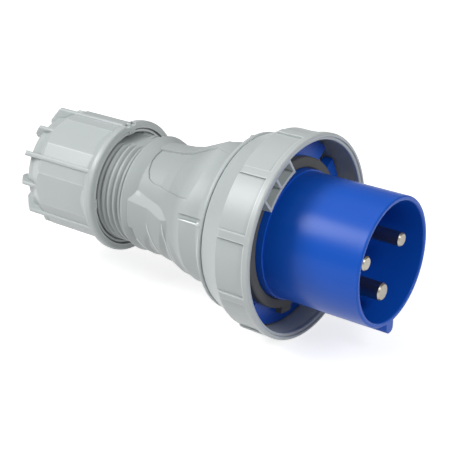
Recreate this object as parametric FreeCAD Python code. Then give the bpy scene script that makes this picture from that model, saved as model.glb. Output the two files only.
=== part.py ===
import FreeCAD, Part
import math
import os

# A 63 A pin and sleeve plug with two poles and earth, lying with its axis level.
# The origin is the centre of the contact sleeve's front rim. +X is the way the plug enters its
# socket, +Z is up, and the earth pin and the key are straight down. Millimetres and degrees.
# Angles round the axis start at the top and grow towards -Y.

# Contact sleeve, its floor, flange and rear spigot
sleeve_radius = 35.5
sleeve_wall = 2.7
sleeve_length = 66.0
sleeve_depth = 50.0
sleeve_foot_length = 8.5
sleeve_foot_step = 0.9
rim_round = 0.9
key_width = 6.8
key_height = 5.8
key_length = 46.0
flange_thickness = 6.0
flange_ring_gap = 1.2
flange_notch_angle = -50.5
flange_notch_width = 11.5
flange_notch_depth = 9.2
spigot_length = 14.0
floor_thickness = 7.0
core_wall = 3.0
spigot_wall = 7.7
pin_boss_radius = 10.8
screw_boss_radius = 4.6

# Contact pins: one pitch circle, two sizes
pin_pitch_radius = 18.7
live_pin_angle = 75.0
live_pin_radius = 4.0
earth_pin_radius = 5.0
pin_recess = 5.0
pin_chamfer = 0.8
pin_seat_step = 0.4
pin_collar_radius = 8.4
pin_collar_thickness = 6.0
terminal_radius = 6.9
terminal_length = 26.0
wire_bore_radius = 4.4
wire_bore_depth = 21.0

# Clamping screws and pressure plates in the terminals
terminal_screw_radius = 2.5
terminal_screw_length = 7.0
terminal_screw_slot = 1.0
terminal_screw_setback = 8.0
terminal_screw_spacing = 9.0
pressure_plate_length = 16.0
pressure_plate_width = 4.6
pressure_plate_thickness = 1.2

# Plate that holds the pins in, and its screws
retainer_inset = 3.2
retainer_thickness = 5.0
retainer_screw_pitch_radius = 21.5
retainer_screw_angles = (0.0, 127.5, -127.5)
retainer_screw_radius = 2.0
retainer_screw_head_radius = 3.6
retainer_screw_head_height = 2.4
retainer_screw_length = 14.0

# Screws through the flange into the housing
flange_screw_angles = (62.0, 96.0, 242.0, 276.0)
flange_screw_radius = 1.75
flange_screw_head_radius = 3.1
flange_screw_head_height = 2.6
flange_screw_grip = 10.0
cross_recess_width = 1.0
cross_recess_depth = 1.2

# Seals
face_seal_width = 5.9
face_seal_thickness = 5.0
face_seal_tab_width = 9.0
face_seal_tab_reach = 3.6
face_seal_tab_angle = 172.0
spigot_seal_section = 2.6
spigot_seal_setback = 4.0

# Housing, from its front bearing for the ring back to the cable end
journal_drop = 5.3
journal_length = 15.2
journal_wall = 7.0
bead_height = 3.3
bead_width = 1.8
bead_slope_length = 1.6
bead_slope_drop = 2.8
flare_length = 7.4
belly_radius = 41.1
belly_length = 11.3
cone_length = 16.7
cone_drop = 7.3
neck_drop = 1.45
neck_blend_length = 7.0
waist_radius = 31.0
neck_length = 22.5
collar_radius = 34.1
collar_length = 9.1
tube_length = 46.0
tube_bore_radius = 26.5
housing_wall = 3.4

# Coarse thread on the housing's tube
thread_crest_radius = 32.0
thread_root_radius = 30.5
thread_pitch = 4.0
thread_flat_drop = 0.6

# Raised grip panel round the housing's underside: distances behind the cone's front edge and
# rises above the skin, at its side edges and underneath
panel_flat_angle = 52.0
panel_flat_distance = 30.4
panel_front_side = 12.2
panel_front_under = 9.0
panel_front_rise = 1.95
panel_foot_side = 12.9
panel_foot_under = 18.7
panel_foot_rise_side = 0.2
panel_foot_rise_under = 2.1
panel_shoulder_side = 17.2
panel_shoulder_under = 23.2
panel_shoulder_rise_side = 2.3
panel_shoulder_rise_under = 2.65
panel_valley_side = 25.5
panel_valley_under = 32.7
panel_valley_rise_side = 2.2
panel_valley_rise_under = 1.5
panel_crest_side = 28.5
panel_crest_under = 35.7
panel_crest_rise_side = 2.0
panel_crest_rise_under = 2.75
panel_rear = 43.2
panel_rear_rise_side = 0.7
panel_rear_rise_under = 0.6
panel_blend_start = 88.0
panel_blend_end = 136.0
panel_step_angle = 105.0
panel_step_setback = 3.0
panel_section_count = 17

# Thumb recesses, top strip and guide grooves of the housing
recess_depth = 0.55
recess_angle = 36.0
recess_facet_depth = 1.9
recess_facet_offset = 17.4
recess_facet_length = 14.7
top_strip_rise = 0.7
top_strip_belly_rise = 0.3
top_strip_half_width = 5.7
top_strip_front_half_width = 8.4
guide_groove_angle = 73.5
guide_groove_width = 3.0
guide_groove_depth = 0.9
bead_nub_radius = 1.5

# Locking ring
ring_radius = 57.5
ring_wall = 3.8
ring_front_gap = 14.6
ring_collar_length = 4.0
ring_panel_length = 17.6
ring_panel_depth = 1.3
ring_shoulder_drop = 7.4
ring_shoulder_middle_drop = 4.7
ring_lip_clearance = 0.1
ring_side_clearance = 0.25
ring_core_length = 7.2
ring_core_wall = 2.1
ring_rib_count = 10
ring_rib_width = 4.6
lip_groove_depth = 0.8
lip_groove_width = 1.1
lug_angle = 35.0
lug_width = 28.0
lug_height = 9.4
lug_length = 7.5
lug_wall = 1.3

# Gland nut
nut_gap = 17.4
nut_length = 59.6
nut_flange_radius = 39.2
nut_flange_length = 3.4
nut_flare_length = 13.0
nut_flat_radius = 35.3
nut_flat_count = 12
nut_cone_length = 16.0
nut_cone_root = 7.5
nut_tail_radius = 31.7
nut_bore_clearance = 0.1
nut_bore_length = 31.0
nut_hole_radius = 22.0
nut_back_wall = 3.6
wing_radius = 37.4
wing_thickness = 3.0
short_wing_thickness = 2.4
wing_overhang = 4.6
wing_inner_radius = 24.9
wing_tip_radius = 28.6
nut_notch_width = 8.0
nut_notch_depth = 1.6
nut_mouth_radius = 35.2
nut_mouth_depth = 2.8
nut_mouth_land = 5.0

# Slip ring, clamping cage and rubber grommet in the gland
slip_ring_radius = 29.4
slip_ring_bore = 24.0
slip_ring_thickness = 4.0
slip_ring_clearance = 0.1
cage_seat_length = 8.0
cage_flange_radius = 30.2
cage_flange_thickness = 2.0
cage_finger_length = 13.5
cage_finger_count = 12
cage_finger_gap = 2.0
cage_finger_tip_radius = 27.0
cage_bore = 22.6
grommet_bore = 15.5
grommet_length = 20.0
grommet_groove_depth = 1.2
grommet_groove_count = 3

fit_clearance = 0.1

V = FreeCAD.Vector
CENTRE = V(0, 0, 0)
AXIS = V(1, 0, 0)

# Radii that follow from the ring: flange inside it, journal and bead behind the flange
sleeve_inner = sleeve_radius - sleeve_wall
core_radius = sleeve_radius - core_wall
ring_inner = ring_radius - ring_wall
ring_shoulder_radius = ring_radius - ring_shoulder_drop
ring_shoulder_middle = ring_radius - ring_shoulder_middle_drop
lug_inner_radius = ring_inner - lug_height
flange_radius = ring_inner - flange_ring_gap
journal_radius = flange_radius - journal_drop
bead_radius = journal_radius + bead_height
spigot_radius = journal_radius - journal_wall
spigot_core_radius = spigot_radius - spigot_wall
retainer_radius = spigot_radius - retainer_inset
flange_screw_pitch_radius = spigot_radius + journal_wall / 2
cone_foot_radius = belly_radius - cone_drop
neck_radius = cone_foot_radius - neck_drop

# Stations along the axis, all measured back from the sleeve's rim
flange_face = -sleeve_length
flange_back = flange_face - flange_thickness
spigot_end = flange_back - spigot_length
retainer_back = spigot_end - retainer_thickness
terminal_end = spigot_end - terminal_length
bead_front = flange_back - journal_length
bead_back = bead_front - bead_width
bead_foot = bead_back - bead_slope_length
belly_front = bead_foot - flare_length
belly_back = belly_front - belly_length
cone_back = belly_back - cone_length
neck_front = cone_back - neck_blend_length
neck_back = cone_back - neck_length
collar_back = neck_back - collar_length
tube_end = collar_back - tube_length
ring_front = flange_face + ring_front_gap
ring_back = bead_front + ring_side_clearance
terminal_screw_stations = (terminal_end + terminal_screw_setback,
                           terminal_end + terminal_screw_setback + terminal_screw_spacing)
nut_front = collar_back - nut_gap
nut_back = nut_front - nut_length


def turned(shape, angle):
    """The shape turned about the plug's axis, from the top towards -Y."""
    copy = shape.copy()
    copy.rotate(CENTRE, AXIS, angle)
    return copy


def outline(points):
    """A closed wire in the X-Z plane. A point (x, z) ends a line, (mid, end) ends an arc."""
    first = V(points[0][0], 0, points[0][1])
    last = first
    edges = []
    for point in points[1:]:
        if isinstance(point[0], tuple):
            middle = V(point[0][0], 0, point[0][1])
            end = V(point[1][0], 0, point[1][1])
            edges.append(Part.Arc(last, middle, end).toShape())
        else:
            end = V(point[0], 0, point[1])
            edges.append(Part.LineSegment(last, end).toShape())
        last = end
    if last.distanceToPoint(first) > 1e-6:
        edges.append(Part.LineSegment(last, first).toShape())
    return Part.Wire(edges)


def outline_flat(points):
    """A closed polygon in the X-Y plane."""
    corners = [V(x, y, 0) for x, y in points]
    return Part.makePolygon(corners + corners[:1])


def revolved(points):
    """A solid turned about the plug's axis from an outline of (x, radius) points."""
    return Part.Face(outline(points)).revolve(CENTRE, AXIS, 360)


def tube(x_low, x_high, outer, inner=0.0):
    """A plain tube or disc along the plug's axis."""
    solid = Part.makeCylinder(outer, x_high - x_low, V(x_low, 0, 0), AXIS)
    if inner > 0:
        solid = solid.cut(Part.makeCylinder(inner, x_high - x_low + 2, V(x_low - 1, 0, 0), AXIS))
    return solid


def block(x, y, z):
    """A box between the low and high values of each pair."""
    return Part.makeBox(x[1] - x[0], y[1] - y[0], z[1] - z[0], V(x[0], y[0], z[0]))


def rod(x_low, x_high, radius, pitch_radius, angle):
    """A cylinder parallel to the axis, standing on a pitch circle."""
    solid = Part.makeCylinder(radius, x_high - x_low, V(x_low, 0, pitch_radius), AXIS)
    return turned(solid, angle)


def side_prism(points, half_width):
    """An outline in the X-Z plane, given thickness to both sides of that plane."""
    face = Part.Face(outline(points))
    face.translate(V(0, -half_width, 0))
    return face.extrude(V(0, 2 * half_width, 0))


def joined(shapes):
    solid = shapes[0].multiFuse(shapes[1:])
    return solid.removeSplitter()


def without(solid, tools):
    return solid.cut(Part.makeCompound(tools))


def only_solid(shape):
    """The shape as one solid: anything else is a fault in the model."""
    solids = shape.Solids
    if len(solids) != 1:
        raise ValueError("expected one solid, found %d" % len(solids))
    return solids[0]


# Contact sleeve: sleeve, floor, flange and spigot are one moulding

pins = {
    "line": (live_pin_angle, live_pin_radius),
    "neutral": (-live_pin_angle, live_pin_radius),
    "earth": (180.0, earth_pin_radius),
}


def make_contact_sleeve():
    foot_front = flange_face + sleeve_foot_length
    foot_radius = sleeve_radius + sleeve_foot_step
    r = rim_round
    k = r * (1 - math.sqrt(0.5))
    body = revolved([
        (-sleeve_depth, 0),
        (-sleeve_depth, sleeve_inner),
        (-r, sleeve_inner),
        ((-k, sleeve_inner + k), (0, sleeve_inner + r)),
        (0, sleeve_radius - r),
        ((-k, sleeve_radius - k), (-r, sleeve_radius)),
        (foot_front, sleeve_radius),
        (foot_front, foot_radius),
        (flange_face, foot_radius),
        (flange_face, flange_radius),
        (flange_back, flange_radius),
        (flange_back, spigot_radius),
        (spigot_end, spigot_radius),
        (spigot_end, 0),
    ])
    key = block((-key_length, 0), (-key_width / 2, key_width / 2),
                (-sleeve_radius - key_height, -sleeve_radius + sleeve_wall / 2))
    lower_edges = [e for e in key.Edges if e.BoundBox.ZMax < -sleeve_radius - key_height + 0.01
                   and e.BoundBox.XLength > key_length / 2]
    key = key.makeFillet(key_width * 0.42, lower_edges)
    bosses = [rod(spigot_end, -sleeve_depth - 1, pin_boss_radius, pin_pitch_radius, angle)
              for angle, radius in pins.values()]
    bosses += [rod(spigot_end, -sleeve_depth - 1, screw_boss_radius, retainer_screw_pitch_radius, angle)
               for angle in retainer_screw_angles]
    foot_core = tube(flange_back, -sleeve_depth - floor_thickness, core_radius)
    spigot_core = tube(spigot_end - 1, flange_back, spigot_core_radius)
    body = joined([without(body, [foot_core, spigot_core]), key] + bosses)

    cuts = []
    for angle, radius in pins.values():
        cuts.append(rod(spigot_end - 1, -sleeve_depth + 1, radius + pin_seat_step + fit_clearance / 2,
                        pin_pitch_radius, angle))
        cuts.append(rod(spigot_end - 1, spigot_end + pin_collar_thickness, pin_collar_radius + fit_clearance,
                        pin_pitch_radius, angle))
    for angle in retainer_screw_angles:
        depth = retainer_screw_length - retainer_thickness + 1
        cuts.append(rod(spigot_end - 1, spigot_end + depth, retainer_screw_radius + fit_clearance / 2,
                        retainer_screw_pitch_radius, angle))
    for angle in flange_screw_angles:
        cuts.append(rod(flange_back - 1, flange_face + 1, flange_screw_radius + fit_clearance,
                        flange_screw_pitch_radius, angle))
        cuts.append(rod(flange_face - flange_screw_head_height, flange_face + 1,
                        flange_screw_head_radius + fit_clearance, flange_screw_pitch_radius, angle))
    seal_x = flange_back - spigot_seal_setback
    groove_floor = spigot_radius - spigot_seal_section * 0.8
    cuts.append(tube(seal_x - spigot_seal_section, seal_x, spigot_radius + 1, groove_floor))
    notch = block((flange_back - 1, flange_face + 1), (-flange_notch_width / 2, flange_notch_width / 2),
                  (flange_radius - flange_notch_depth, flange_radius + 2))
    cuts.append(turned(notch, flange_notch_angle))
    cuts.append(turned(notch, flange_notch_angle + 180))
    return only_solid(without(body, cuts))


def make_pin(angle, radius):
    """One turned contact: the pin, its collar and the tubular terminal behind it."""
    tip = -pin_recess
    seat = radius + pin_seat_step
    collar_front = spigot_end + pin_collar_thickness
    profile = [
        (terminal_end, 0),
        (terminal_end, terminal_radius),
        (spigot_end, terminal_radius),
        (spigot_end, pin_collar_radius),
        (collar_front, pin_collar_radius),
        (collar_front, seat),
        (-sleeve_depth, seat),
        (-sleeve_depth, radius),
        (tip - pin_chamfer, radius),
        (tip, radius - pin_chamfer),
        (tip, 0),
    ]
    pin = revolved(profile)
    pin = pin.cut(Part.makeCylinder(wire_bore_radius, wire_bore_depth, V(terminal_end, 0, 0), AXIS))
    for x in terminal_screw_stations:
        screw_hole = Part.makeCylinder(terminal_screw_radius + fit_clearance / 2, terminal_radius + 1,
                                       V(x, 0, 0), V(0, 0, 1))
        pin = pin.cut(screw_hole)
    pin.translate(V(0, 0, pin_pitch_radius))
    return only_solid(turned(pin, angle))


def plate_bed():
    """Distance from a terminal's axis to the pressure plate's underside."""
    half = pressure_plate_width / 2
    return math.sqrt(wire_bore_radius ** 2 - half ** 2) - pressure_plate_thickness


def make_terminal_screws(angle):
    """The two slotted screws that bear on one terminal's pressure plate."""
    foot = pin_pitch_radius + plate_bed() + pressure_plate_thickness
    screws = []
    for x in terminal_screw_stations:
        screw = Part.makeCylinder(terminal_screw_radius, terminal_screw_length, V(x, 0, foot), V(0, 0, 1))
        top = foot + terminal_screw_length
        slot = block((x - terminal_screw_slot / 2, x + terminal_screw_slot / 2),
                     (-terminal_screw_radius - 1, terminal_screw_radius + 1), (top - 1.4, top + 1))
        screws.append(turned(screw.cut(slot), angle))
    return Part.makeCompound(screws)


def make_pressure_plate(angle):
    centre = sum(terminal_screw_stations) / len(terminal_screw_stations)
    bed = pin_pitch_radius + plate_bed()
    half_length = pressure_plate_length / 2
    half_width = pressure_plate_width / 2
    plate = block((centre - half_length, centre + half_length), (-half_width, half_width),
                  (bed, bed + pressure_plate_thickness))
    return turned(plate, angle)


def make_pin_retainer():
    plate = tube(retainer_back, spigot_end, retainer_radius)
    cuts = []
    for angle, radius in pins.values():
        cuts.append(rod(retainer_back - 1, spigot_end + 1, terminal_radius + fit_clearance,
                        pin_pitch_radius, angle))
    for angle in retainer_screw_angles:
        cuts.append(rod(retainer_back - 1, spigot_end + 1, retainer_screw_radius + fit_clearance,
                        retainer_screw_pitch_radius, angle))
    return only_solid(without(plate, cuts))


def cross_recess(x, direction, pitch_radius):
    """Two crossed slots in a screw's head, open at x and running the given way."""
    low, high = sorted((x, x + direction * cross_recess_depth))
    arm = cross_recess_width / 2
    reach = cross_recess_width * 2
    one = block((low, high), (-arm, arm), (pitch_radius - reach, pitch_radius + reach))
    two = block((low, high), (-reach, reach), (pitch_radius - arm, pitch_radius + arm))
    return one.fuse(two)


def make_retainer_screws():
    screws = []
    head_back = retainer_back - retainer_screw_head_height
    for angle in retainer_screw_angles:
        head = rod(head_back, retainer_back, retainer_screw_head_radius, retainer_screw_pitch_radius, 0)
        shank = rod(retainer_back, retainer_back + retainer_screw_length, retainer_screw_radius,
                    retainer_screw_pitch_radius, 0)
        screw = head.fuse(shank).cut(cross_recess(head_back, 1, retainer_screw_pitch_radius))
        screws.append(turned(only_solid(screw), angle))
    return Part.makeCompound(screws)


def make_flange_screws():
    screws = []
    for angle in flange_screw_angles:
        head = rod(flange_face - flange_screw_head_height, flange_face, flange_screw_head_radius,
                   flange_screw_pitch_radius, 0)
        shank = rod(flange_back - flange_screw_grip, flange_face - flange_screw_head_height,
                    flange_screw_radius, flange_screw_pitch_radius, 0)
        screw = head.fuse(shank).cut(cross_recess(flange_face, -1, flange_screw_pitch_radius))
        screws.append(turned(only_solid(screw), angle))
    return Part.makeCompound(screws)


def make_face_seal():
    """The flat gasket round the sleeve's foot, with the tab it is pulled out by."""
    inner = sleeve_radius + sleeve_foot_step + fit_clearance / 2
    outer = inner + face_seal_width
    front = flange_face + face_seal_thickness
    r = 0.8
    ring = revolved([
        (flange_face, inner),
        (flange_face, outer),
        (front - r, outer),
        (front, outer - r),
        (front, inner + r),
        (front - r, inner),
    ])
    half = face_seal_tab_width / 2
    tab = block((flange_face, front - r), (-half, half),
                (outer - 2, outer + face_seal_tab_reach))
    return only_solid(joined([ring, turned(tab, face_seal_tab_angle)]))


def make_spigot_seal():
    """The sealing ring between the spigot and the housing's mouth."""
    seal_x = flange_back - spigot_seal_setback
    outer = spigot_radius + fit_clearance
    inner = spigot_radius - spigot_seal_section * 0.8
    return tube(seal_x - spigot_seal_section, seal_x, outer, inner)


# Housing

def housing_skin(rise):
    """The hand grip's outline from the bead's foot to the collar, moved out by rise."""
    foot_radius = bead_radius - bead_slope_drop
    flare_middle = (bead_foot - flare_length * 0.33, belly_radius + (foot_radius - belly_radius) * 0.34)
    blend_middle = (cone_back - neck_blend_length * 0.46, neck_radius + neck_drop * 0.33)
    slope_middle = (neck_back - collar_length * 0.4, waist_radius + (collar_radius - waist_radius) * 0.58)
    crest = neck_back - collar_length * 0.82
    return [
        (bead_foot, foot_radius + rise),
        ((flare_middle[0], flare_middle[1] + rise), (belly_front, belly_radius + rise)),
        (belly_back, belly_radius + rise),
        (cone_back, cone_foot_radius + rise),
        ((blend_middle[0], blend_middle[1] + rise), (neck_front, neck_radius + rise)),
        (neck_back, waist_radius + rise),
        ((slope_middle[0], slope_middle[1] + rise), (crest, collar_radius + rise)),
    ]


def skin_radius(x):
    """The hand grip's radius at a station between the belly's back and the collar's crest."""
    stations = [(belly_back, belly_radius), (cone_back, cone_foot_radius), (neck_front, neck_radius),
                (neck_back, waist_radius), (neck_back - collar_length * 0.82, collar_radius)]
    for (x1, r1), (x2, r2) in zip(stations, stations[1:]):
        if x >= x2:
            return r1 + (r2 - r1) * (x - x1) / (x2 - x1)
    return collar_radius


def panel_section(angle):
    """The grip panel's section in the half plane at this angle, closed inside the housing's wall."""
    from_bottom = abs(180.0 - angle)
    share = (180.0 - from_bottom - panel_blend_start) / (panel_blend_end - panel_blend_start)
    share = min(1.0, max(0.0, share))
    share = share * share * (3 - 2 * share)

    def blend(side, under):
        return side + (under - side) * share

    def corner(distance_side, distance_under, rise_side, rise_under):
        x = belly_back - blend(distance_side, distance_under)
        return x, skin_radius(x) + blend(rise_side, rise_under)

    buried = housing_wall * 0.5
    rear = belly_back - panel_rear
    corners = [
        (belly_back + 3.0, belly_radius - 0.5),
        corner(panel_front_side, panel_front_under, -0.1, panel_front_rise),
        corner(panel_foot_side, panel_foot_under, panel_foot_rise_side, panel_foot_rise_under),
        corner(panel_shoulder_side, panel_shoulder_under,
               panel_shoulder_rise_side, panel_shoulder_rise_under),
        corner(panel_valley_side, panel_valley_under, panel_valley_rise_side, panel_valley_rise_under),
        corner(panel_crest_side, panel_crest_under, panel_crest_rise_side, panel_crest_rise_under),
        corner(panel_rear, panel_rear, panel_rear_rise_side, panel_rear_rise_under),
        (rear, skin_radius(rear) - buried),
        (cone_back, cone_foot_radius - buried),
        (belly_back + 3.0, belly_radius - buried),
    ]
    wire = Part.makePolygon([V(x, 0, r) for x, r in corners + corners[:1]])
    return turned(wire, angle)


def make_grip_panel():
    """The raised grip panel, lofted round the underside through sections that change with angle.

    Its upper edges are two flats, and a step ends its last finger rib in front of the collar."""
    span = 360.0 - 2 * panel_flat_angle
    sections = [panel_section(panel_flat_angle + span * i / (panel_section_count - 1))
                for i in range(panel_section_count)]
    panel = Part.makeLoft(sections, True, False)
    reach = 2 * belly_radius
    edge_flat = block((collar_back, belly_front), (-reach, reach), (panel_flat_distance, reach))
    rear = belly_back - panel_rear
    step_front = rear + panel_step_setback
    step = Part.Face(outline([(rear - 1, 0), (rear - 1, reach), (step_front, reach), (step_front, 0)]))
    step = turned(step.revolve(CENTRE, AXIS, 360.0 - 2 * panel_step_angle), panel_step_angle)
    cuts = [turned(edge_flat, panel_flat_angle), turned(edge_flat, -panel_flat_angle), step]
    return only_solid(without(panel, cuts))


def make_top_strip():
    """The raised strip along the top of the grip, wider where it meets the bead."""
    narrow = top_strip_half_width
    wide = top_strip_front_half_width
    face = Part.Face(outline_flat([
        (belly_front + 2, wide), (belly_front, wide), (belly_back, narrow), (neck_back - 3, narrow),
        (neck_back - 3, -narrow), (belly_back, -narrow), (belly_front, -wide), (belly_front + 2, -wide)]))
    area = face.extrude(V(0, 0, belly_radius + 6))
    flank = housing_wall * 0.5
    strip = revolved([
        (belly_front + 2, belly_radius - flank),
        (belly_front + 2, belly_radius + top_strip_belly_rise),
        (belly_back, belly_radius + top_strip_belly_rise),
        (cone_back, cone_foot_radius + top_strip_rise),
        (neck_front, neck_radius + top_strip_rise),
        (neck_back - 3, waist_radius + top_strip_rise),
        (neck_back - 3, waist_radius - flank),
        (cone_back, cone_foot_radius - flank),
        (belly_back, belly_radius - flank),
    ])
    return strip.common(area)


def make_thumb_recess(angle):
    """The cutter for one thumb recess: shallow on the neck, a flatter facet towards the belly."""
    face = Part.Face(outline_flat([
        (neck_back, 16.0), (neck_back, 9.5), (neck_back + 0.3, 4.0), (neck_back + 2.3, -2.6),
        (neck_back + 5.2, -7.4), (neck_back + 9.5, -9.6), (cone_back - 6.6, -10.5), (cone_back, -12.4),
        (belly_back - 4.0, -16.0), (belly_front, -18.5), (belly_front, 24.0), (belly_back, 22.0)]))
    area = face.extrude(V(0, 0, belly_radius + 8))
    slope = cone_drop / cone_length
    front = belly_front + 1
    lead = belly_radius + (front - belly_back) * slope
    floor = revolved([
        (front, 0),
        (front, lead - recess_depth),
        (cone_back, cone_foot_radius - recess_depth),
        (neck_front, neck_radius - recess_depth),
        (neck_back, waist_radius - recess_depth),
        (neck_back - 4, waist_radius - recess_depth),
        (neck_back - 4, 0),
    ])
    turn_line = -recess_facet_offset
    facet_back = cone_back + cone_length - recess_facet_length
    facet = Part.Face(outline([
        (front, turn_line),
        (front, lead - recess_facet_depth),
        (belly_back - 2.7, belly_radius - 2.7 * slope - recess_facet_depth),
        (facet_back, skin_radius(facet_back) - recess_depth),
        (neck_back - 4, skin_radius(facet_back) - recess_depth),
        (neck_back - 4, turn_line),
    ])).revolve(V(0, 0, turn_line), AXIS, 360)
    return turned(area.cut(floor).fuse(area.cut(facet)), angle)


def make_guide_groove(angle):
    """The cutter for a groove that runs from the bead's foot and out at the cone's front edge."""
    half = guide_groove_width / 2
    run_out = belly_back - 6.0
    area = block((run_out, bead_foot - 1.0), (-half, half), (0, bead_radius))
    foot, flare = housing_skin(-guide_groove_depth)[:2]
    floor = revolved([(bead_foot, 0), foot, flare, (run_out - 1, belly_radius - guide_groove_depth),
                      (run_out - 1, 0)])
    return turned(area, angle).cut(floor)


def thread_rings():
    """Thread ridges on the housing's tube, one for each turn."""
    rings = []
    half = thread_pitch / 2
    x = collar_back - 0.6 * thread_pitch
    while x - half > tube_end + thread_pitch:
        crest = 0.16 * thread_pitch
        root = 0.42 * thread_pitch
        rings.append(revolved([
            (x + root, thread_root_radius - 0.5),
            (x + root, thread_root_radius),
            (x + crest, thread_crest_radius),
            (x - crest, thread_crest_radius),
            (x - root, thread_root_radius),
            (x - root, thread_root_radius - 0.5),
        ]))
        x -= thread_pitch
    return rings


def make_housing():
    mouth_end = retainer_back - 1.0
    bore_radius = spigot_radius + fit_clearance
    belly_bore = belly_radius - housing_wall
    neck_bore = neck_radius - housing_wall
    waist_bore = waist_radius - housing_wall
    r = 0.4
    body = revolved([
        (flange_back, bore_radius),
        (flange_back, journal_radius),
        (bead_front, journal_radius),
        (bead_front, bead_radius - r),
        (bead_front - r, bead_radius),
        (bead_back, bead_radius),
    ] + housing_skin(0) + [
        (collar_back + r, collar_radius - 0.3),
        (collar_back, collar_radius - 0.9),
        (collar_back, thread_root_radius),
        (tube_end + 1.2, thread_root_radius),
        (tube_end, thread_root_radius - 1.0),
        (tube_end, tube_bore_radius),
        (collar_back, tube_bore_radius),
        (neck_back, waist_bore),
        (neck_front, neck_bore),
        (cone_back, cone_foot_radius - housing_wall),
        (belly_back, belly_bore),
        (mouth_end, belly_bore),
        (mouth_end, bore_radius),
    ])
    recess = make_thumb_recess(recess_angle)
    body = without(body, [recess, mirrored(recess)])
    raised = [make_grip_panel(), make_top_strip()]
    for angle in (0.0, guide_groove_angle, -guide_groove_angle):
        nub = Part.makeSphere(bead_nub_radius, V(bead_back - 0.6, 0, bead_radius - bead_nub_radius + 0.2))
        raised.append(turned(nub, angle))
    body = joined([body] + raised)

    cuts = [make_guide_groove(guide_groove_angle), make_guide_groove(-guide_groove_angle)]
    for angle in flange_screw_angles:
        cuts.append(rod(flange_back - flange_screw_grip, flange_back + 1,
                        flange_screw_radius + fit_clearance / 2, flange_screw_pitch_radius, angle))
    body = without(body, cuts)

    body = joined([body] + thread_rings())
    flat = thread_root_radius - thread_flat_drop
    reach = 2 * thread_crest_radius
    flats = [block((tube_end - 1, collar_back), (-reach, reach), (low, low + reach))
             for low in (flat, -flat - reach)]
    body = without(body, flats)
    return only_solid(body)


def mirrored(shape):
    """The shape's twin on the other side of the plug's upright middle plane."""
    return shape.mirror(CENTRE, V(0, 1, 0))


# Locking ring

def make_locking_ring():
    panel_front = ring_front - ring_collar_length
    panel_back = panel_front - ring_panel_length
    panel_radius = ring_radius - ring_panel_depth
    inner = ring_inner
    lip_radius = journal_radius + ring_lip_clearance
    step = flange_back - ring_side_clearance
    core_inner = lip_radius + ring_core_wall
    core_end = step - ring_core_length
    groove_x = ring_front - lip_groove_depth
    body = revolved([
        (ring_back, lip_radius),
        (ring_back, ring_shoulder_radius - 0.7),
        (ring_back + 0.5, ring_shoulder_radius),
        (((ring_back + panel_back) / 2, ring_shoulder_middle), (panel_back, panel_radius)),
        (panel_front, panel_radius),
        (panel_front, ring_radius),
        (ring_front - 1.2, ring_radius + 0.1),
        ((ring_front - 0.35, ring_radius - 0.3), (ring_front, ring_radius - 1.1)),
        (ring_front, inner + lip_groove_width + 0.9),
        (groove_x, inner + lip_groove_width + 0.6),
        (groove_x, inner + 0.5),
        (groove_x - 0.5, inner),
        (step, inner),
        (core_end, ring_shoulder_middle - ring_core_wall),
        (core_end, core_inner),
        (step, core_inner),
        (step, lip_radius),
    ])
    rib_back = panel_back
    rib_envelope = revolved([
        (rib_back, inner + 1),
        (rib_back, panel_radius),
        (rib_back + 0.5, ring_radius - 0.6),
        (rib_back + 1.5, ring_radius - 0.1),
        (panel_front + 1, ring_radius),
        (panel_front + 1, inner + 1),
    ])
    half = ring_rib_width / 2
    rib = block((rib_back - 1, panel_front + 1), (-half, half), (inner + 1, ring_radius + 1))
    rib = rib.common(rib_envelope)
    ribs = [turned(rib, 360.0 * i / ring_rib_count) for i in range(ring_rib_count)]
    lugs = []
    for angle in (lug_angle, lug_angle + 180):
        lugs.append(turned(make_lug(inner), angle))
    return only_solid(joined([body] + ribs + lugs))


def make_lug(inner):
    """One bayonet lug on the ring's inner wall, with two pockets open to the front."""
    front = ring_front - lip_groove_depth - 0.2
    back = front - lug_length
    reach = inner + 0.6
    outer_half = lug_width / 2
    inner_half = outer_half * lug_inner_radius / inner

    def wedge(x_low, x_high, shrink, low):
        face = Part.Face(Part.makePolygon([
            V(x_low, -inner_half + shrink, low), V(x_low, inner_half - shrink, low),
            V(x_low, outer_half - shrink, reach + 4), V(x_low, -outer_half + shrink, reach + 4),
            V(x_low, -inner_half + shrink, low)]))
        return face.extrude(V(x_high - x_low, 0, 0))

    shell = tube(back, front, reach, lug_inner_radius)
    lug = wedge(back, front, 0, 0).common(shell)
    pocket = wedge(back + lug_wall, front + 1, lug_wall, 0)
    pocket = pocket.common(tube(back + lug_wall, front + 1, inner - 0.6, lug_inner_radius + lug_wall))
    divider = block((back, front + 1), (-lug_wall / 2, lug_wall / 2), (0, reach))
    return lug.cut(pocket.cut(divider))


# Cable gland

def make_wing(outer, inner, tip_chamfer_radius, front, thickness):
    """One radial wing of the nut, with a chamfered tail that overhangs the nut's back."""
    tail = nut_back - wing_overhang
    rise = outer - tip_chamfer_radius
    wing = side_prism([
        (front, inner),
        (front, outer),
        (tail + rise * 0.9, outer),
        (tail, tip_chamfer_radius),
        (tail, inner),
    ], thickness / 2)
    top_edges = [e for e in wing.Edges if abs(e.BoundBox.ZMin - outer) < 0.01 and e.BoundBox.XLength > 5]
    return wing.makeFillet(thickness * 0.4, top_edges)


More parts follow.
